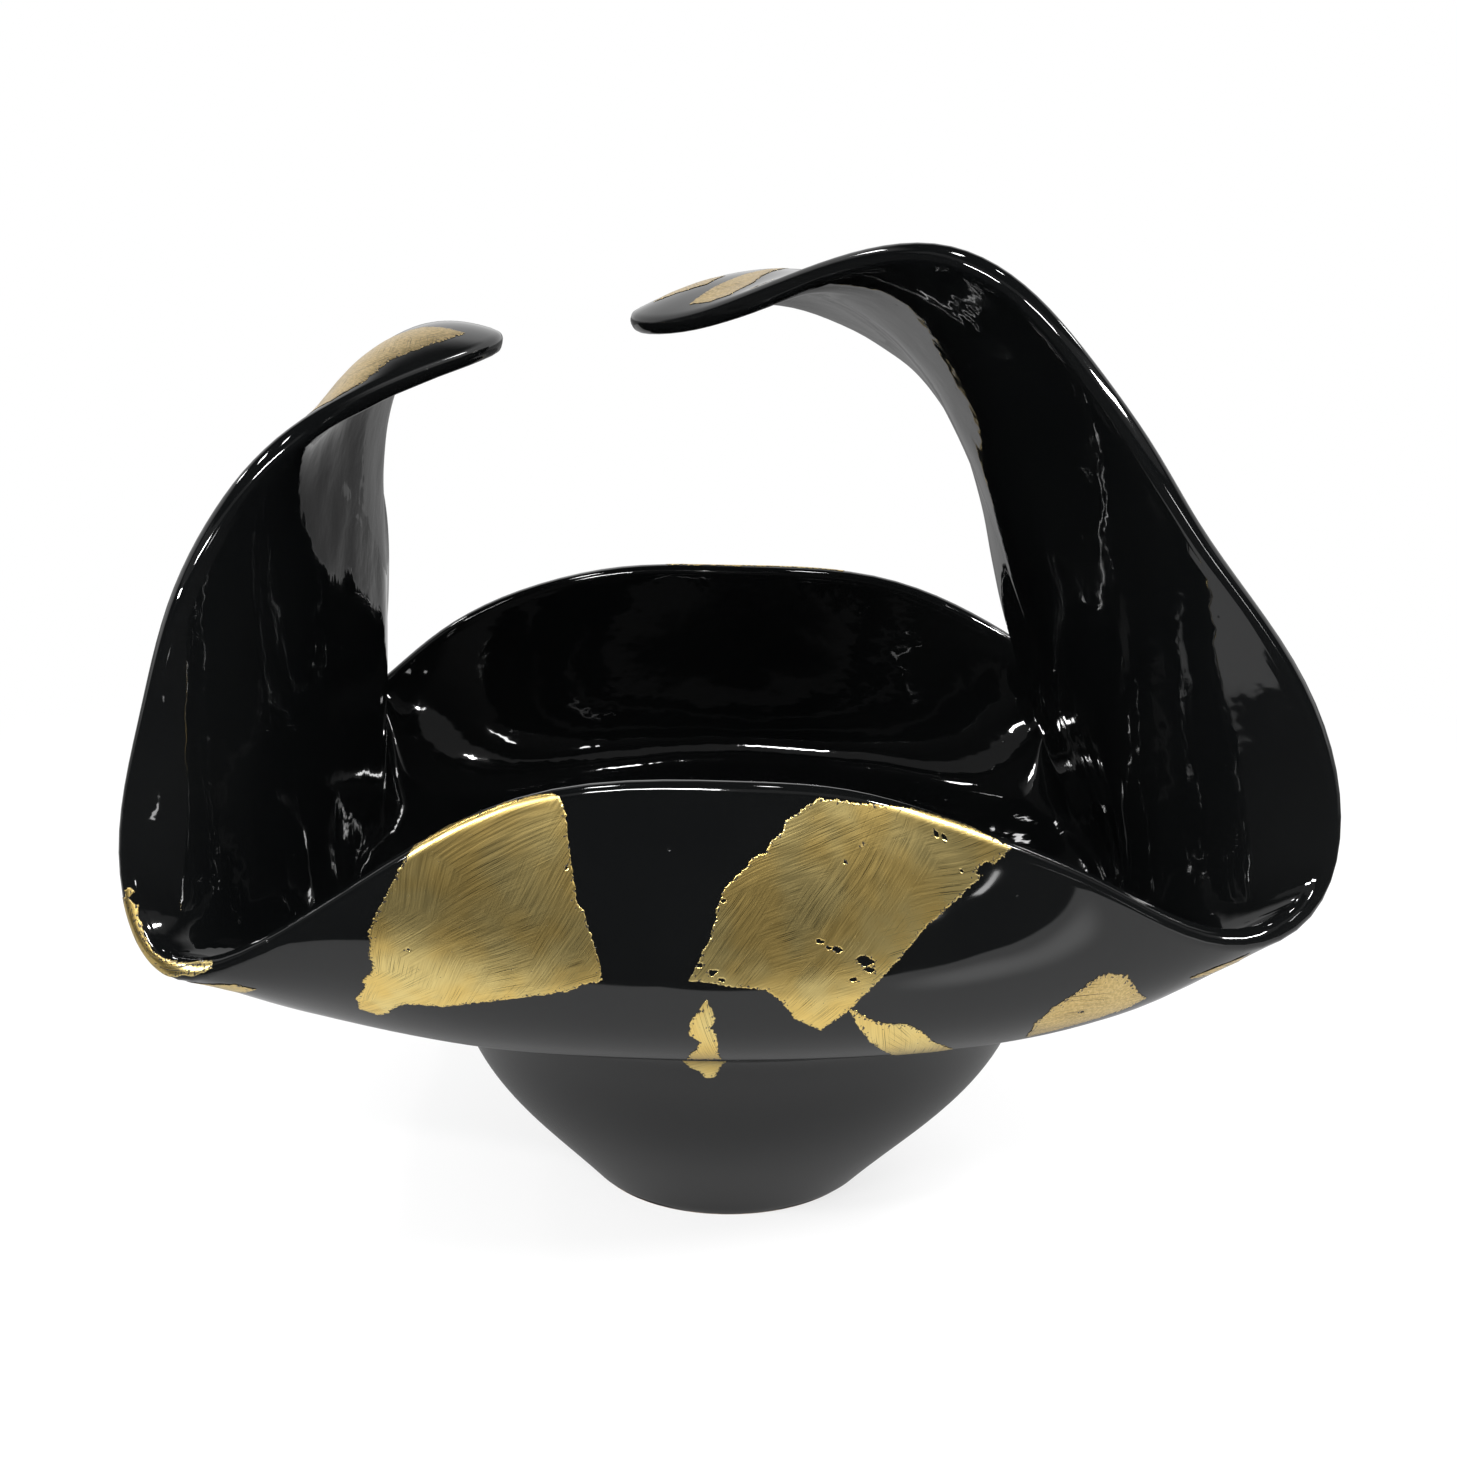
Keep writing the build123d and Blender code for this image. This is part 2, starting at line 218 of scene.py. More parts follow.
# Painted reflection: dimmer towards the back, and shown to mirror rays only; the camera sees even white.
painted_reflection = mix_numbers(tree, ease(tree, y, 0.15, 0.65), front, ease(tree, x, *TABLE_REAR))
painted_reflection = product(tree, painted_reflection, path["Is Glossy Ray"])
level = calculate(tree, "MULTIPLY_ADD", path["Is Camera Ray"], BACKGROUND_WHITE, painted_reflection)
glow = add_node(tree, "ShaderNodeEmission", Color=(1, 1, 1, 1), Strength=level)
far = ease(tree, from_foot, 0.30, 0.80, 0.75, 1.0)
share = calculate(tree, "MULTIPLY_ADD", path["Is Camera Ray"], far, path["Is Glossy Ray"])
mixed = add_node(tree, "ShaderNodeMixShader", _0=share, _1=shader.outputs[0], _2=glow.outputs[0])
tree.links.new(mixed.outputs[0], next(n for n in tree.nodes if n.type == "OUTPUT_MATERIAL").inputs[0])
print("table of", TABLE_RADIUS, "m")

# %% Room
# Limits along one axis of a direction of length 1: z is 0 level with the eye and 1 overhead, and
# y is positive behind the bowl.
WALL_SIDE = (-0.05, 0.20)
WALL_FOOT = (-0.02, 0.12, 0.25, 0.95)
WALL_TOP = (0.82, 0.66)
CEILING = (0.45, 0.0, 0.012, ROOM_FRONT)
STRIP_FOOT = (0.47, 0.50)
STRIP_TOP = (0.74, 0.71)
STRIP_SIDE = (-0.10, -0.20, 0.0, ROOM_STRIP)

world = bpy.data.worlds.new("studio")
bpy.context.scene.world = world
world.use_nodes = True
tree = world.node_tree
sky = next(n for n in tree.nodes if n.type == "BACKGROUND")
path = add_node(tree, "ShaderNodeLightPath").outputs
view = add_node(tree, "ShaderNodeTexCoord").outputs["Generated"]
_, y, z = add_node(tree, "ShaderNodeSeparateXYZ", Vector=view).outputs
wall = product(tree, ease(tree, y, *WALL_SIDE), ease(tree, z, *WALL_TOP), ease(tree, z, *WALL_FOOT))
strip = product(tree, ease(tree, z, *STRIP_FOOT), ease(tree, z, *STRIP_TOP), ease(tree, y, *STRIP_SIDE))
room = calculate(tree, "MAXIMUM", wall, ease(tree, z, *CEILING))
glossy = product(tree, calculate(tree, "MAXIMUM", room, strip), path["Is Glossy Ray"])
matt = product(tree, path["Is Diffuse Ray"], ROOM_LIGHT)
seen = calculate(tree, "MAXIMUM", path["Is Camera Ray"], path["Is Transmission Ray"])
white = product(tree, seen, BACKGROUND_WHITE)
strength = calculate(tree, "MAXIMUM", calculate(tree, "ADD", glossy, matt), white)
tree.links.new(strength, sky.inputs["Strength"])
sky.inputs["Color"].default_value = (1, 1, 1, 1)


def lamp(name, place, aim, size, bright):
    """An area lamp of a width and height in metres, turned to an aim point; bright is its radiance."""
    data = bpy.data.lights.new(name, "AREA")
    data.shape = "RECTANGLE"
    data.size, data.size_y = size
    data.energy = bright * math.pi * size[0] * size[1]
    thing = bpy.data.objects.new(name, data)
    thing.location = place
    away = np.array(place) - np.array(aim)
    level = math.hypot(away[0], away[1])
    thing.rotation_euler = (math.atan2(level, away[2]), 0, math.atan2(away[1], away[0]) + math.pi / 2)
    bpy.context.collection.objects.link(thing)


LAMPS = {
    "lamp_overhead": ((-0.52, -0.20, 2.0), (0, 0, 0.15), (0.16, 0.16), 70),
    "lamp_overhead_right": ((0.25, -0.30, 2.1), (0, 0, 0.15), (0.12, 0.12), 60),
    "lamp_front": ((-0.30, -1.55, 1.20), (0, 0, 0.15), (0.52, 0.08), 110),
    "lamp_high_right": ((1.02, -0.92, 1.33), (0, 0, 0.15), (0.60, 0.08), 190),
    "lamp_high_left": ((-1.10, -1.10, 0.95), (0, 0, 0.15), (0.40, 0.08), 140),
    "lamp_left": ((-1.30, 0.35, 1.70), (0, 0, 0.2), (0.16, 0.16), 50),
    "lamp_right": ((1.35, 0.40, 1.50), (0, 0, 0.2), (0.16, 0.16), 40),
    "lamp_low": ((0.49, -0.94, 0.05), (0, 0, 0.15), (0.05, 0.015), 8),
    "lamp_front_right": ((0.9, -1.7, 0.75), (0, 0, 0.15), (0.14, 0.07), 25),
}
for name, settings in LAMPS.items():
    lamp(name, *settings)
print("room with", len(LAMPS), "lamps")


# %% [markdown]
# ## The form
# The sheet is one smooth surface.  Fourteen key ribs climb from the foot to the rim; each is a
# cubic B-spline through ten pull points, and the pull points of neighbouring ribs lie on closed
# cubic curves.  The same numbers, in millimetres, shape the CAD body, so this surface lies on it.

# %% Numbers of the form
WALL = 7.4                  # thickness of the clay sheet
FOOT_RADIUS = 51.0
FOOT_SLOPE = 45.0           # degrees the wall leans out at the foot
NECK = (102.0, 90.0)        # radius and height where the round bowl meets the sheet
NECK_SHIFT = 4.0            # the bowl's lean to the right
FLOOR = 9.0                 # clay above the standing plane
RECESS_DEPTH = 3.0          # hollow under the foot
RIM_STATIONS = 56           # places round the rim at which it is drawn
FOOT_SHARES = ((0.16, 0.11, 0.12), (0.47, 0.30, 0.35), (0.81, 0.54, 0.75), (0.985, 0.77, 1.0))

# The rim, middle of the sheet's edge, four stations from one key rib to the next.
RIM = {
    "front lip": [(0, -150, 186), (38, -148, 182), (75, -145, 169), (110, -142, 153)],
    "front right corner": [(145, -139, 137), (173, -131, 147), (178, -125, 180), (164, -119, 216)],
    "right arm, front edge": [(140, -113, 249), (122, -108, 277), (104, -101, 302), (86, -92, 322)],
    "right arm, crest": [(64, -77, 333), (38, -57, 330), (12, -38, 320), (-14, -19, 311)],
    "right arm, tip": [(-30, 4, 310), (-15, 26, 314), (10, 43, 317), (37, 62, 311)],
    "right arm, shoulder": [(63, 80, 297), (79, 92, 283), (92, 99, 267), (102, 105, 247)],
    "right arm, back edge": [(108, 109, 226), (113, 114, 204), (119, 120, 183), (129, 129, 163)],
    "back right corner": [(146, 138, 144), (136, 143, 154), (106, 144, 174), (60, 149, 191)],
    "back lip": [(0, 150, 195), (-50, 149, 194), (-98, 147, 181), (-131, 143, 161)],
    "back left corner": [(-152, 137, 145), (-150, 127, 162), (-144, 115, 187), (-141, 105, 211)],
    "left arm, back edge": [(-140, 96, 233), (-139, 85, 261), (-126, 66, 287), (-103, 37, 301)],
    "left arm, tip": [(-81, 2, 303), (-97, -32, 297), (-119, -63, 288), (-137, -88, 275)],
    "left arm, front edge": [(-151, -103, 257), (-163, -113, 232), (-172, -119, 200), (-179, -125, 164)],
    "front left corner": [(-172, -134, 134), (-149, -141, 130), (-109, -144, 153), (-57, -147, 181)],
}

# One key rib for each stretch of rim: the direction in which it leaves the neck (degrees), its
# distance and height on the shelf of the sheet, and its two pull points below the rim.
RIBS = {
    "front lip": (-90, (140, 103), (0, -166, 113), (0, -157, 162)),
    "front right corner": (-48, (146, 100), (119, -114, 107), (135, -128, 118)),
    "right arm, front edge": (-25, (152, 98), (131, -68, 140), (134, -92, 212)),
    "right arm, crest": (-10, (158, 98), (121, -35, 170), (101, -62, 304)),
    "right arm, tip": (2, (160, 98), (112, 2, 184), (60, 4, 357)),
    "right arm, shoulder": (14, (162, 98), (118, 35, 165), (104, 62, 270)),
    "right arm, back edge": (27, (164, 98), (131, 72, 134), (114, 100, 184)),
    "back right corner": (45, (158, 97), (128, 116, 106), (134, 130, 122)),
    "back lip": (90, (140, 103), (0, 166, 113), (0, 157, 167)),
    "back left corner": (135, (156, 97), (-126, 114, 106), (-139, 127, 124)),
    "left arm, back edge": (160, (160, 98), (-137, 64, 132), (-140, 90, 190)),
    "left arm, tip": (180, (156, 98), (-136, 0, 168), (-136, 0, 322)),
    "left arm, front edge": (200, (152, 98), (-141, -64, 140), (-150, -90, 212)),
    "front left corner": (228, (146, 99), (-124, -114, 106), (-144, -129, 118)),
}


# %% [markdown]
# A closed cubic curve runs through its points when its control points are solved for; a few dozen
# rounds of averaging do that without a matrix.  The ribs use the clamped cubic B-spline, whose
# first and last pull points are the foot and the rim themselves.

# %% Curves of the form
def closed_curve(points, where):
    """Closed smooth cubic curve through points at whole numbers, read at the numbers in where."""
    points = np.array(points, float)
    pull = points.copy()
    for _ in range(60):
        pull = (6 * points - np.roll(pull, 1, axis=0) - np.roll(pull, -1, axis=0)) / 4
    first = np.floor(where).astype(int)
    u = (where - first)[:, None]
    weights = [(1 - u) ** 3, 3 * u ** 3 - 6 * u ** 2 + 4, 1 + 3 * u + 3 * u ** 2 - 3 * u ** 3, u ** 3]
    return sum(w / 6 * pull[(first - 1 + k) % len(pull)] for k, w in enumerate(weights))


def rib_weights(t, count):
    """Weights of a clamped cubic B-spline of count pull points at the places t, 0 at the foot."""
    knots = np.concatenate([[0] * 3, np.linspace(0, 1, count - 2), [1] * 3])
    t = np.clip(t, 0, 1 - 1e-9)
    steps = [((a <= t) & (t < b)).astype(float) for a, b in zip(knots[:-1], knots[1:])]
    for degree in (1, 2, 3):
        raised = []
        for i in range(len(steps) - 1):
            up, down = knots[i + degree] - knots[i], knots[i + degree + 1] - knots[i + 1]
            grow = (t - knots[i]) / up * steps[i] if up else 0 * t
            fade = (knots[i + degree + 1] - t) / down * steps[i + 1] if down else 0 * t
            raised.append(grow + fade)
        steps = raised
    return np.array(steps)


def foot_rings():
    """Radius, height and lean of the pull points from foot to neck: shares of the way between them."""
    slope = math.radians(FOOT_SLOPE)
    foot = np.array([FOOT_RADIUS - WALL / 2 * math.sin(slope), WALL / 2 * math.cos(slope)])
    neck = np.array(NECK)
    rows = [(*foot, 0.0)]
    rows += [(*(foot + (neck - foot) * (out, up)), lean * NECK_SHIFT) for out, up, lean in FOOT_SHARES]
    return rows + [(*neck, NECK_SHIFT)]


def pull_rings(stations):
    """Ten closed rings of pull points, foot first and rim last, read at an array of stations."""
    keys = stations / 4
    count = len(RIBS)
    even_turn = 360 / count * np.arange(count) - 90
    swing = closed_curve([[rib[0] - a] for rib, a in zip(RIBS.values(), even_turn)], keys)[:, 0]
    angle = np.radians(360 / count * keys - 90 + swing)
    ray = np.stack([np.cos(angle), np.sin(angle)], axis=-1)
    level = np.ones((len(stations), 1))
    rings = [np.hstack([ray * radius + (lean, 0), level * height]) for radius, height, lean in foot_rings()]
    shelf = closed_curve([rib[1] for rib in RIBS.values()], keys)
    rings.append(np.hstack([ray * shelf[:, :1] + (NECK_SHIFT, 0), shelf[:, 1:]]))
    rings += [closed_curve([rib[k] for rib in RIBS.values()], keys) for k in (2, 3)]
    rings.append(closed_curve([point for stretch in RIM.values() for point in stretch], stations))
    return np.array(rings)


def on_sheet(station, t):
    """Middle of the clay in mm: ribs' B-spline weights at t times the pull points at the station."""
    shape = np.broadcast(station, t).shape
    station, t = (np.broadcast_to(v, shape).astype(float).ravel() for v in (station, t))
    rings = pull_rings(station)
    return np.einsum("kn,knc->nc", rib_weights(t, len(rings)), rings).reshape(shape + (3,))


def unit(vectors):
    """The vectors divided by their own lengths."""
    return vectors / np.linalg.norm(vectors, axis=-1, keepdims=True)


def outward(station, t):
    """Unit normal of the sheet: the step along the rim crossed with the step up the rib."""
    along = on_sheet(np.add(station, 0.02), t) - on_sheet(np.subtract(station, 0.02), t)
    above, below = np.minimum(np.add(t, 1e-3), 1), np.maximum(np.subtract(t, 1e-3), 0)
    return unit(np.cross(along, on_sheet(station, above) - on_sheet(station, below)))


sample = on_sheet(np.arange(RIM_STATIONS), np.ones(RIM_STATIONS))
print("rim from", sample.min(axis=0).round(), "to", sample.max(axis=0).round(), "mm")

# %% [markdown]
# ## Handmade unevenness
# Pressed and scraped clay is never quite even, and a mirror-like glaze shows tenths of a
# millimetre as bends in the reflections.  Slow waves of random direction, added up, push the
# outside in by up to a few tenths; the inside, which is harder to reach, rolls more.

# %% Waves
SLOW_LENGTH = 62            # mm
QUICK_LENGTH = 24
UNEVEN_OUTSIDE = (-0.16, 0.12, 0.02)    # mm: all over, in the slow waves, in the quick waves
UNEVEN_INSIDE = (0.0, 0.45, 0.16)


def waves(place, length, seed, count=24):
    """Sum of plane sine waves of random direction and phase, wavelengths round length; about -1 to 1."""
    rng = np.random.default_rng(seed)
    direction = unit(rng.normal(size=(count, place.shape[-1])))
    pace = 2 * math.pi / (length * rng.uniform(0.7, 1.6, count))
    phase = rng.uniform(0, 2 * math.pi, count)
    return np.sin(place @ (direction * pace[:, None]).T + phase).mean(axis=-1) * math.sqrt(count) / 1.6


def unevenness(place, inside):
    """How far (mm) the glaze stands over the even surface; the outside stays under it."""
    slow, quick = waves(place, SLOW_LENGTH, seed=3), waves(place, QUICK_LENGTH, seed=8)
    within, without = (base + a * slow + b * quick for base, a, b in (UNEVEN_INSIDE, UNEVEN_OUTSIDE))
    return np.where(inside, within, without)


# %% [markdown]
# ## The fired clay body
# One closed surface: it starts in the middle of the hollow under the foot, turns round the foot
# ring, climbs the outside of the sheet, rolls over the rim, and comes down the inside to the middle
# of the floor.  Every row is a closed ring of the same number of points, so the whole body is a
# grid of rows and columns.  The rim is a little squarer than a half circle, as a wiped edge is.

# %% Body surface
COLUMNS = 320
OUTSIDE_ROWS = 132
INSIDE_ROWS = 124
RIM_ROWS = 14
RIM_SQUARENESS = 0.82       # power on sine and cosine; 1 is a half circle
# Radius and height of the rings under the foot, from the hollow's roof out to the foot's edge, and
# of those in the bowl, from the wall in to the middle of the floor.
FOOT_RINGS = (
    (12, 3.0), (26, 3.0), (36, 3.0), (38.2, 2.8), (39.0, 2.2), (39.3, 0.7), (39.8, 0.2), (40.6, 0),
    (45, 0), (49.6, 0), (50.4, 0.15), (50.9, 0.55),
)
FLOOR_RINGS = ((42, 12.6), (34, 10.9), (24, 9.7), (12, 9.1))


def even_places(count):
    """Places from foot to rim (t) that are evenly far apart along the sheet."""
    fine = np.linspace(0, 1, 300)
    points = on_sheet(np.arange(RIM_STATIONS)[None, :], fine[:, None])
    step = np.linalg.norm(np.diff(points, axis=0), axis=2)
    run = np.concatenate([[0], np.cumsum(step.mean(axis=1) + step.max(axis=1))])
    return np.interp(np.linspace(0, run[-1], count), run, fine)


def skin(station, t, side, lift=0.0):
    """Outer (side 1) or inner (side -1) face: half a wall from the middle, plus unevenness and lift."""
    normal = outward(station, t)
    place = on_sheet(station, t)
    return place + side * normal * (WALL / 2 + lift + unevenness(place, side < 0))[..., None]


def over_rim(station, angle, lift=0.0):
    """Round of the rim, squared off: angle 0 is the outer face, half a turn the inner face."""
    station, angle = np.broadcast_arrays(station, angle)
    edge, normal = on_sheet(station, 1.0), outward(station, 1.0)
    along = on_sheet(station + 0.02, 1.0) - on_sheet(station - 0.02, 1.0)
    over = unit(np.cross(normal, along))
    over *= np.sign(np.sum(over * (edge - on_sheet(station, 0.99)), axis=-1, keepdims=True))
    side = np.sign(np.cos(angle)) * np.abs(np.cos(angle)) ** RIM_SQUARENESS
    rise = np.sin(angle) ** RIM_SQUARENESS
    outer, inner = unevenness(edge, False), unevenness(edge, True)
    half = WALL / 2 + lift + np.where(side > 0, outer * side, -inner * side)
    return edge + (normal * side[..., None] + over * rise[..., None]) * half[..., None]


def level_rings(radii, heights):
    """Level circles about the foot's axis, one for each radius and height."""
    turn = 2 * math.pi * np.arange(COLUMNS) / COLUMNS - math.pi / 2
    circle = np.stack([np.cos(turn), np.sin(turn), 0 * turn], axis=-1)
    return np.array(radii)[:, None, None] * circle + np.array(heights)[:, None, None] * [0, 0, 1.0]


column = np.arange(COLUMNS) / COLUMNS * RIM_STATIONS
outside = even_places(OUTSIDE_ROWS)[1:-1]
inside = even_places(INSIDE_ROWS)[::-1][1:-2]
rolls = np.linspace(0, math.pi, RIM_ROWS)

foot = level_rings(*zip(*FOOT_RINGS))
last = skin(column, np.full(COLUMNS, inside[-1]), -1)
ray = unit(last * [1, 1, 0])
floor_rings = np.array([ray * radius + [0, 0, height] for radius, height in FLOOR_RINGS])
body_rows = np.concatenate([
    foot,
    skin(column[None, :], outside[:, None], 1),
    over_rim(column[None, :], rolls[:, None]),
    skin(column[None, :], inside[:, None], -1),
    floor_rings,
])
print("body grid:", body_rows.shape[0], "rows of", body_rows.shape[1], "points")

# %% [markdown]
# A grid becomes a mesh by joining each point to its neighbours in four-sided faces.  The columns
# run on into the first one again, and a single point at each pole closes the surface.  Each point
# also remembers whether it lies inside the bowl, for the glaze to read.

# %% Grid to mesh
def object_from(name, points, faces):
    """A smooth mesh object at the origin: points in mm, faces as rows of point numbers."""
    mesh = bpy.data.meshes.new(name)
    mesh.from_pydata((points * MM).tolist(), [], [list(map(int, f)) for f in faces])
    mesh.polygons.foreach_set("use_smooth", np.ones(len(mesh.polygons), bool))
    mesh.update()
    thing = bpy.data.objects.new(name, mesh)
    bpy.context.collection.objects.link(thing)
    return thing


def closed_grid(rows, bottom, top):
    """Points and faces of a grid whose columns close on themselves, with one point at each end."""
    count, columns = rows.shape[:2]
    number = np.arange(count * columns).reshape(count, columns)
    beside = np.roll(number, -1, axis=1)
    quads = np.stack([number[:-1], beside[:-1], beside[1:], number[1:]], axis=-1).reshape(-1, 4)
    first, final = count * columns, count * columns + 1
    under = np.stack([np.full(columns, first), beside[0], number[0]], axis=-1)
    over = np.stack([number[-1], beside[-1], np.full(columns, final)], axis=-1)
    points = np.concatenate([rows.reshape(-1, 3), [bottom, top]])
    return points, quads.tolist() + under.tolist() + over.tolist()


def keep_on_points(thing, name, values):
    """Stores a number on every point of a mesh object, for its material to read."""
    thing.data.attributes.new(name, "FLOAT", "POINT").data.foreach_set("value", values)


points, faces = closed_grid(body_rows, (0, 0, RECESS_DEPTH), (0, 0, FLOOR))
body = object_from("glazed_body", points, faces)
row_within = np.arange(len(body_rows)) >= len(foot) + len(outside) + RIM_ROWS
keep_on_points(body, "inside", np.concatenate([np.repeat(row_within, COLUMNS), [0, 1]]).astype(float))
print("body:", len(faces), "faces")

# %% [markdown]
# ## Gold leaf
# Leaf is laid on the glaze in torn scraps and brushed down with lacquer.  Each scrap is cut from
# the outer skin: a fine grid over it keeps the points inside a torn outline, and points near the
# outline are pulled onto it so that the tear is crisp.  The distance to the outline, with small
# waves added to it, gives the ragged edge; holes are further outlines inside the first.
# An outline is a list of places (station round the rim, t up the rib); past t = 1 it runs over
# the rim, where 1.1 is its crest.

# %% Outlines of the scraps
LEAVES = {
    "leaf_front_left": [
        (54.34, 1.02), (54.42, 1.07), (54.6, 1.09), (54.78, 1.06), (54.9, 1.075), (55.13, 1.045),
        (55.16, 1.02), (55.17, 1.0), (55.13, 0.98), (55.1, 0.965), (55.09, 0.957), (55.06, 0.947),
        (55.1, 0.941), (55.09, 0.936), (55.11, 0.905), (55.1, 0.893), (54.95, 0.892), (54.85, 0.888),
        (54.45, 0.887), (53.8, 0.89), (53.5, 0.902), (53.38, 0.899), (53.3, 0.896), (53.28, 0.893),
        (53.12, 0.89), (53.06, 0.907), (53.2, 0.925), (53.4, 0.936), (53.46, 0.944), (53.6, 0.948),
        (53.7, 0.962), (53.9, 0.98), (54.1, 0.99), (54.28, 0.999),
    ],
    "leaf_front_right": [
        (0.48, 0.993), (0.63, 1.0), (0.78, 1.0), (0.89, 1.0), (1.13, 1.016), (1.38, 1.054), (1.78, 1.073),
        (2.05, 1.045), (2.16, 1.033), (2.1, 0.998), (2.0, 0.992), (1.94, 0.992), (1.86, 0.987),
        (1.83, 0.983), (1.9, 0.985), (1.84, 0.98), (1.64, 0.964), (1.4, 0.942), (1.16, 0.908),
        (1.01, 0.886), (0.88, 0.866), (0.7, 0.844), (0.49, 0.856), (0.38, 0.873), (0.26, 0.882),
        (0.0, 0.884), (-0.29, 0.889), (-0.2, 0.905), (-0.12, 0.92), (-0.05, 0.944), (0.03, 0.954),
        (0.11, 0.96), (0.14, 0.965), (0.23, 0.969), (0.28, 0.976), (0.35, 0.981), (0.38, 0.987),
    ],
    "leaf_flame": [
        (-0.17, 0.873), (-0.145, 0.866), (-0.12, 0.859), (-0.12, 0.851), (-0.175, 0.844), (-0.135, 0.841),
        (-0.12, 0.829), (-0.13, 0.812), (-0.13, 0.781), (-0.43, 0.781), (-0.38, 0.80), (-0.31, 0.812),
        (-0.27, 0.825), (-0.32, 0.833), (-0.34, 0.84), (-0.32, 0.844), (-0.32, 0.852), (-0.28, 0.858),
        (-0.22, 0.866),
    ],
    "leaf_foot": [
        (-1.0, 0.6), (-0.19, 0.6), (-0.22, 0.565), (-0.32, 0.532), (-0.38, 0.497), (-0.46, 0.489),
        (-0.56, 0.495), (-0.65, 0.516), (-0.78, 0.527), (-0.87, 0.56),
    ],
    "leaf_bow": [
        (0.9, 0.868), (0.95, 0.869), (1.04, 0.863), (1.13, 0.859), (1.23, 0.855), (1.34, 0.857),
        (1.45, 0.855), (1.58, 0.845), (1.71, 0.829), (1.88, 0.813), (2.08, 0.791), (1.86, 0.767),
        (1.54, 0.771), (1.35, 0.799), (1.13, 0.829), (1.06, 0.84), (1.03, 0.847), (0.96, 0.857),
    ],
    "leaf_right_low": [
        (2.75, 0.825), (2.6, 0.87), (2.64, 0.9), (2.88, 0.936), (3.04, 0.951), (3.28, 0.956), (3.5, 0.94),
        (3.68, 0.934), (3.5, 0.905), (3.25, 0.88), (3.0, 0.85),
    ],
    "leaf_right_corner": [
        (3.95, 0.966), (4.1, 0.98), (4.32, 0.995), (4.36, 0.983), (4.15, 0.97),
    ],
    "leaf_left_corner": [
        (51.5, 1.03), (51.46, 1.08), (51.46, 1.125), (51.4, 1.13), (51.38, 1.17), (51.44, 1.187),
        (51.47, 1.155), (51.52, 1.16), (51.57, 1.195), (51.64, 1.175), (51.75, 1.178), (51.95, 1.163),
        (52.14, 1.153), (52.36, 1.147), (52.58, 1.132), (52.8, 1.115), (52.93, 1.1), (52.93, 1.06),
        (52.75, 1.05), (52.58, 1.075), (52.4, 1.05), (52.2, 1.02), (51.9, 1.0), (51.6, 1.0),
    ],
    "leaf_left_strip": [
        (52.0, 0.985), (52.3, 0.994), (52.6, 0.997), (52.8, 0.985), (52.76, 0.972), (52.5, 0.967),
        (52.2, 0.974),
    ],
    "leaf_left_tip": [
        (44.4, 0.995), (44.35, 0.98), (44.6, 0.968), (45.2, 0.965), (45.7, 0.97), (46.1, 0.98),
        (46.45, 0.994), (46.2, 1.0), (45.8, 0.998), (45.3, 0.992), (45.0, 0.993),
    ],
    "leaf_right_tip_a": [
        (15.95, 0.997), (16.2, 0.992), (16.1, 0.987), (15.84, 0.983), (15.6, 0.988), (15.75, 0.992),
    ],
    "leaf_right_tip_b": [
        (15.1, 0.997), (15.28, 0.99), (15.4, 0.984), (15.75, 0.969), (15.4, 0.974), (15.0, 0.983),
        (14.7, 0.989), (14.55, 0.997), (14.75, 0.998),
    ],
    "leaf_back_lip": [
        (31.2, 1.1), (31.9, 1.1), (32.5, 1.1), (32.6, 0.99), (32.4, 0.965), (32.45, 0.94), (32.1, 0.915),
        (31.8, 0.9), (31.6, 0.92), (31.3, 0.93), (31.35, 0.96), (31.1, 0.985),
    ],
    "leaf_back_low": [
        (30.2, 0.87), (30.3, 0.85), (30.7, 0.83), (31.0, 0.81), (31.1, 0.83), (30.8, 0.86), (30.5, 0.88),
    ],
}

# For each scrap: direction of the brush strokes in degrees, grid step in mm, wear (1 is usual),
# dullness (0 is bright, 1 is greyish and speckled) and holes (station, t, radius).
SCRAP_DETAILS = {
    "leaf_front_left": (38, 0.36, 1, 0, [(53.93, 0.953, 0.35), (55.07, 0.967, 0.35)]),
    "leaf_front_right": (58, 0.36, 1, 0, [
        (0.97, 0.911, 2.4), (1.01, 0.905, 1.4), (0.76, 0.916, 1.3), (0.63, 0.920, 0.9), (0.70, 0.9165, 0.7),
        (0.90, 0.896, 1.0), (-0.12, 0.895, 1.2), (-0.20, 0.900, 0.8), (-0.03, 0.941, 0.6), (0.96, 0.98, 0.5),
        (0.80, 0.969, 0.45), (1.56, 0.9965, 0.9), (1.62, 0.9965, 0.8), (1.71, 0.982, 0.45),
        (-0.05, 0.889, 0.7),
    ]),
    "leaf_flame": (100, 0.22, 1, 0, []),
    "leaf_foot": (60, 0.25, 1, 0, []),
    "leaf_bow": (-35, 0.25, 1, 0, []),
    "leaf_right_low": (48, 0.3, 1.5, 0.8, [(3.0, 0.9, 0.5)]),
    "leaf_right_corner": (10, 0.25, 2, 0.8, []),
    "leaf_left_corner": (0, 0.25, 2.5, 0, []),
    "leaf_left_strip": (0, 0.25, 2, 0.5, []),
    "leaf_left_tip": (20, 0.36, 1, 1, []),
    "leaf_right_tip_a": (30, 0.3, 1, 1, []),
    "leaf_right_tip_b": (-20, 0.3, 1, 1, []),
    "leaf_back_lip": (35, 0.45, 1, 0, [(31.8, 0.95, 1.0)]),
    "leaf_back_low": (60, 0.3, 1, 0, []),
}

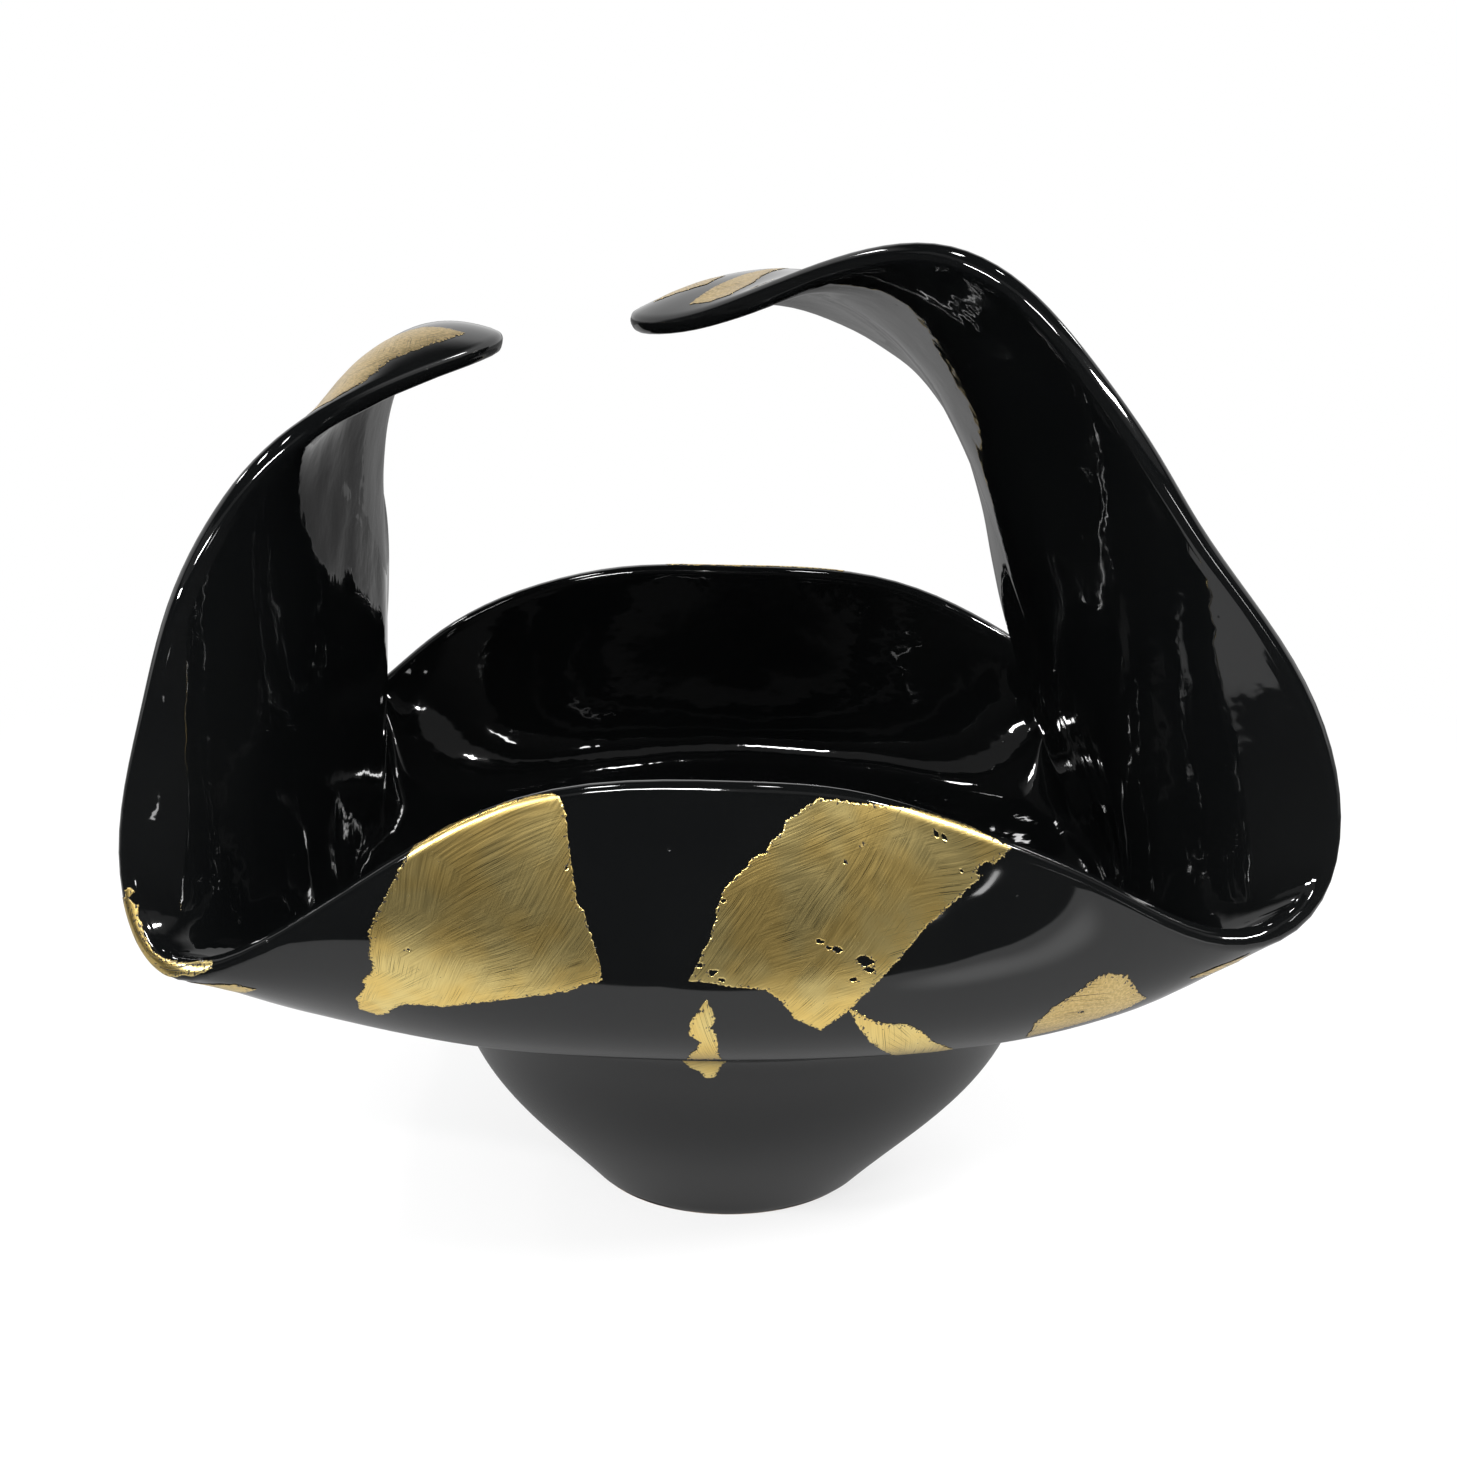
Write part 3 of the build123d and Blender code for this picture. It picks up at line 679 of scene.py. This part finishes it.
# %% Cutting a scrap
LEAF_THICKNESS = 0.04       # mm, like the lengths below
LEAF_LIFT = (0.06, 0.12)    # its underside above the glaze, least and most
CREST = 0.1                 # t past 1 at the crest of the rim
TEAR_WAVES = ((5, 0.22), (1.6, 0.28))   # length and depth, mm, of the waves in the torn edge
HOLE_WAVES = (1.8, 0.45)
HOLE_FLATNESS = 1.4         # how much wider than high a hole is
SNAP = 0.6                  # share of a grid step over which points are pulled onto the tear
MOST_WORN = 2.5             # the wear at which cracks are bare


def outline_distance(u, v, corners):
    """Distance (mm) from each point to a closed outline, negative inside it."""
    nearest = np.full(u.shape, np.inf)
    crossings = np.zeros(u.shape, int)
    for (ax, ay), (bx, by) in zip(corners, np.roll(corners, -1, axis=0)):
        dx, dy = bx - ax, by - ay
        share = np.clip(((u - ax) * dx + (v - ay) * dy) / (dx * dx + dy * dy), 0, 1)
        nearest = np.minimum(nearest, np.hypot(u - ax - share * dx, v - ay - share * dy))
        between = (ay > v) != (by > v)
        crossings += between & (u < ax + (v - ay) * dx / (dy if dy else 1e-9))
    return np.where(crossings % 2, -nearest, nearest)


def torn_distance(u, v, corners, holes, seed):
    """Distance to the ragged edge, negative on the leaf; holes are (u, v, radius) in mm."""
    place = np.stack([u, v], axis=-1)
    torn = outline_distance(u, v, corners)
    for number, (length, depth) in enumerate(TEAR_WAVES):
        torn = torn + depth * waves(place, length, seed + number)
    length, depth = HOLE_WAVES
    for hole_u, hole_v, radius in holes:
        gap = np.hypot(u - hole_u, (v - hole_v) * HOLE_FLATNESS)
        torn = np.maximum(torn, radius - gap + depth * waves(place, length, seed + len(TEAR_WAVES)))
    return torn


def make_scrap(name, outline, seed, stroke, cell, wear, dull, holes):
    """One scrap of leaf: a grid over the skin, kept where its torn distance is negative."""
    # The outline, laid flat in mm: u along the rim, v up the rib, 0 at the edge of the outer face.
    spots = np.array(outline)
    on_clay = np.minimum(spots[:, 1], 1)
    s0, t0 = spots[:, 0].mean(), on_clay.mean()
    wide = np.linalg.norm(on_sheet(s0 + 0.1, t0) - on_sheet(s0 - 0.1, t0)) / 0.2
    tall = np.linalg.norm(on_sheet(s0, t0 + 0.005) - on_sheet(s0, t0 - 0.005)) / 0.01
    roll = WALL / 2 * math.pi / 2 / CREST
    flat_v = (on_clay - 1) * tall + (spots[:, 1] - on_clay) * roll
    corners = np.stack([(spots[:, 0] - s0) * wide, flat_v], axis=-1)
    holes = [((station - s0) * wide, (t - 1) * tall, radius) for station, t, radius in holes]

    # The grid, and which of its faces are leaf; points near the tear move onto it.
    low, high = corners.min(axis=0) - 2, corners.max(axis=0) + 2
    u, v = np.meshgrid(np.arange(low[0], high[0], cell), np.arange(low[1], high[1], cell))
    torn = torn_distance(u, v, corners, holes, seed)
    loose = waves(np.stack([u, v], axis=-1), 9, seed + 3)
    slope_v, slope_u = np.gradient(torn, cell)
    steep = np.maximum(slope_u ** 2 + slope_v ** 2, 0.2)
    pull = np.where(np.abs(torn) < SNAP * cell, torn, 0) / steep
    kept = torn < SNAP * cell
    faces_in = kept[:-1, :-1] & kept[1:, :-1] & kept[:-1, 1:] & kept[1:, 1:]
    u, v = u - pull * slope_u, v - pull * slope_v

    # Onto the skin, and past its edge over the round of the rim.
    station = s0 + u / wide
    lift = LEAF_LIFT[0] + (LEAF_LIFT[1] - LEAF_LIFT[0]) / 2 * (1 + loose)
    flat = skin(station, np.clip(1 + v / tall, 0, 1), 1, lift)
    rolled = over_rim(station, np.clip(v / (WALL / 2), 0, 3.0), lift)
    surface = np.where((v > 0)[..., None], rolled, flat)
    number = np.arange(u.size).reshape(u.shape)
    quads = np.stack([number[:-1, :-1], number[:-1, 1:], number[1:, 1:], number[1:, :-1]], axis=-1)[faces_in]
    used, faces = np.unique(quads, return_inverse=True)
    thing = object_from(name, surface.reshape(-1, 3)[used], faces.reshape(-1, 4))

    # The brush reads u and v turned to the stroke, in units of 100 mm.
    turn = math.radians(stroke)
    along, across = u * math.cos(turn) + v * math.sin(turn), v * math.cos(turn) - u * math.sin(turn)
    strokes = np.stack([along, across], axis=-1).reshape(-1, 2)[used] / 100 + seed
    mesh = thing.data
    corner_points = np.empty(len(mesh.loops), int)
    mesh.loops.foreach_get("vertex_index", corner_points)
    mesh.uv_layers.new(name="strokes").data.foreach_set("uv", strokes[corner_points].ravel())
    keep_on_points(thing, "from_tear", (np.clip(-torn, 0, 5) / wear).ravel()[used])
    keep_on_points(thing, "dull", np.full(len(used), float(dull)))
    keep_on_points(thing, "worn", np.full(len(used), (wear - 1) / (MOST_WORN - 1)))
    shell = thing.modifiers.new("thickness", "SOLIDIFY")
    shell.thickness = LEAF_THICKNESS * MM
    shell.offset = 1
    return thing


scraps = {}
for seed, (name, outline) in enumerate(LEAVES.items(), start=11):
    scraps[name] = make_scrap("gold_" + name[5:], outline, seed, *SCRAP_DETAILS[name])
    print(name, len(scraps[name].data.polygons), "faces")

# %% [markdown]
# ## Black glaze
# A thick, deep gloss: nearly black, almost perfectly smooth, with a faint ripple and a few
# pinholes, and finely crinkled inside the bowl.  The ring that the bowl stands on is wiped bare
# before firing, so the pale clay shows there with a fine grit.

# %% Glaze and bare clay
BARE_HEIGHT = (0.0011, 0.0007)      # m: glazed above, bare below
GLAZE_DARK = (0.0012, 0.0014, 0.0016, 1)
GLAZE_LIGHT = (0.0030, 0.0032, 0.0032, 1)
CLAY_DARK = (0.36, 0.25, 0.16, 1)
CLAY_LIGHT = (0.55, 0.43, 0.31, 1)
GLAZE_ROUGHNESS = (0.03, 0.075)
CLAY_ROUGHNESS = 0.85

material, tree, shader = new_material("black_glaze")
body.data.materials.append(material)
where = add_node(tree, "ShaderNodeTexCoord").outputs["Object"]
height = add_node(tree, "ShaderNodeSeparateXYZ", Vector=where).outputs["Z"]
wander = noise(tree, where, 260.0, 2.0)
bare = ease(tree, calculate(tree, "MULTIPLY_ADD", wander, 0.0007, height), *BARE_HEIGHT)
grit = noise(tree, where, 2600.0, 3.0)
glaze = mix_colors(tree, noise(tree, where, 18.0, 3.0), GLAZE_DARK, GLAZE_LIGHT)
clay = mix_colors(tree, grit, CLAY_DARK, CLAY_LIGHT)
tree.links.new(mix_colors(tree, bare, glaze, clay), shader.inputs["Base Color"])
smear = ease(tree, noise(tree, where, 45.0, 4.0), 0.35, 0.8, *GLAZE_ROUGHNESS)
rough = calculate(tree, "MAXIMUM", smear, product(tree, bare, CLAY_ROUGHNESS))
tree.links.new(rough, shader.inputs["Roughness"])
shader.inputs["IOR"].default_value = 1.52
ripple = product(tree, noise(tree, where, 42.0, 1.0), 0.35)
crinkle = noise(tree, where, 80.0, 2.0)
relief = calculate(tree, "MULTIPLY_ADD", crinkle, on_points(tree, "inside"), ripple)
pits = add_node(tree, "ShaderNodeTexVoronoi", Vector=where, Scale=170.0).outputs["Distance"]
pinhole = product(tree, ease(tree, pits, 0.10, 0.03), ease(tree, wander, 0.60, 0.66))
relief = calculate(tree, "MULTIPLY_ADD", pinhole, -0.5, relief)
relief = calculate(tree, "ADD", relief, product(tree, bare, grit))
bump = add_node(tree, "ShaderNodeBump", Strength=0.6, Distance=0.0004, Height=relief)
tree.links.new(bump.outputs[0], shader.inputs["Normal"])

# %% [markdown]
# ## Leaf finish
# Gold-coloured leaf is a metal, but lacquer and brushing keep it from mirroring: fine strokes run
# across a scrap in two directions, some scratched through to the black below, and small flecks are
# missing near the torn edges.  The thin scraps at the corners are cracked along their length, and
# those on the arms' ends and low on the sides are greyer and speckled.  One brush, kept as a node
# group, is laid on twice: it stretches noise along the stroke, gives its height, and marks the few
# strokes that cut through.

# %% Brush node group
STROKE_LENGTHS = 8.0        # noise cells in 100 mm along a stroke
FIRST_FINENESS = 240.0      # and across it
SECOND_FINENESS = 200.0
SECOND_TURN = 0.55          # radians from the first direction to the second

brush = bpy.data.node_groups.new("brush", "ShaderNodeTree")
brush.interface.new_socket("Vector", in_out="INPUT", socket_type="NodeSocketVector")
brush.interface.new_socket("Turn", in_out="INPUT", socket_type="NodeSocketFloat")
brush.interface.new_socket("Fineness", in_out="INPUT", socket_type="NodeSocketFloat")
brush.interface.new_socket("Height", in_out="OUTPUT", socket_type="NodeSocketFloat")
brush.interface.new_socket("Scratch", in_out="OUTPUT", socket_type="NodeSocketFloat")
inlet = brush.nodes.new("NodeGroupInput").outputs
outlet = brush.nodes.new("NodeGroupOutput").inputs
bend = add_node(brush, "ShaderNodeTexNoise", Vector=inlet["Vector"], Scale=2.5, Detail=1.0).outputs["Color"]
bent = vector_math(brush, "MULTIPLY_ADD", bend, (0.05, 0.05, 0), inlet["Vector"])
turned = add_node(
    brush, "ShaderNodeVectorRotate", {"rotation_type": "Z_AXIS"}, Vector=bent, Angle=inlet["Turn"]
).outputs[0]
stretch = add_node(brush, "ShaderNodeCombineXYZ", X=STROKE_LENGTHS, Y=inlet["Fineness"], Z=1.0).outputs[0]
along = vector_math(brush, "MULTIPLY", turned, stretch)
finer = vector_math(brush, "MULTIPLY", along, (0.5, 1.9, 1))
brush.links.new(noise(brush, along, 1.0, 1.0), outlet["Height"])
brush.links.new(ease(brush, noise(brush, finer, 1.0, 1.0), 0.59, 0.64), outlet["Scratch"])
print("brush group:", len(brush.nodes), "nodes")

# %% Gold leaf material
WARM_GOLD = (0.86, 0.62, 0.20, 1)
PALE_GOLD = (0.86, 0.68, 0.27, 1)
BROWN_STROKE = (0.46, 0.33, 0.12, 1)
SPECKLE_DARK = (0.46, 0.34, 0.15, 1)
SPECKLE_LIGHT = (0.66, 0.49, 0.23, 1)
BELOW_LEAF = (0.02, 0.016, 0.01, 1)
GOLD_ROUGHNESS = (0.28, 0.36)

material, tree, shader = new_material("gold_leaf")
for thing in scraps.values():
    thing.data.materials.append(material)
where = add_node(tree, "ShaderNodeUVMap", {"uv_map": "strokes"}).outputs[0]
first, second = (
    add_node(tree, "ShaderNodeGroup", {"node_tree": brush}, Vector=where, Turn=turn, Fineness=fine).outputs
    for turn, fine in ((0.0, FIRST_FINENESS), (SECOND_TURN, SECOND_FINENESS))
)
pick = ease(tree, noise(tree, where, 4.0, 2.0), 0.44, 0.56)
hairs = mix_numbers(tree, pick, first["Height"], second["Height"])
cuts = mix_numbers(tree, pick, first["Scratch"], second["Scratch"])
cuts = product(tree, cuts, ease(tree, noise(tree, where, 7.0, 1.0), 0.42, 0.58, 0.15, 0.90))
fleck = noise(tree, where, 110.0, 3.0)
from_tear = on_points(tree, "from_tear")
near_tear = ease(tree, from_tear, 2.2, 0.0, 0.0, 0.17)
missing = ease(tree, calculate(tree, "ADD", fleck, near_tear), 0.71, 0.73)
cracks = product(tree, ease(tree, hairs, 0.57, 0.62), on_points(tree, "worn"))
bare_edge = ease(tree, from_tear, 0.22, 0.04, 0.0, 0.7)
missing = calculate(tree, "MAXIMUM", calculate(tree, "MAXIMUM", missing, cracks), bare_edge)
black = calculate(tree, "MAXIMUM", product(tree, cuts, 0.85), missing)
gold = mix_colors(tree, ease(tree, noise(tree, where, 5.0, 2.0), 0.38, 0.62), WARM_GOLD, PALE_GOLD)
gold = mix_colors(tree, ease(tree, hairs, 0.35, 0.70, 0.0, 0.22), gold, BROWN_STROKE)
speckled = mix_colors(tree, ease(tree, fleck, 0.40, 0.60), SPECKLE_DARK, SPECKLE_LIGHT)
gold = mix_colors(tree, on_points(tree, "dull"), gold, speckled)
tree.links.new(mix_colors(tree, black, gold, BELOW_LEAF), shader.inputs["Base Color"])
tree.links.new(calculate(tree, "SUBTRACT", 1.0, missing), shader.inputs["Metallic"])
tree.links.new(ease(tree, hairs, 0.3, 0.7, *GOLD_ROUGHNESS), shader.inputs["Roughness"])
relief = calculate(tree, "MULTIPLY_ADD", black, -0.15, hairs)
bump = add_node(tree, "ShaderNodeBump", Strength=0.16, Distance=0.00025, Height=relief)
tree.links.new(bump.outputs[0], shader.inputs["Normal"])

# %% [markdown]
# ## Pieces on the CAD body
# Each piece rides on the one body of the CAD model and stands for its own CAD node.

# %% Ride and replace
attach(body, "root")
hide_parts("body")
for name, thing in scraps.items():
    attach(thing, "root")
    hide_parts(name)
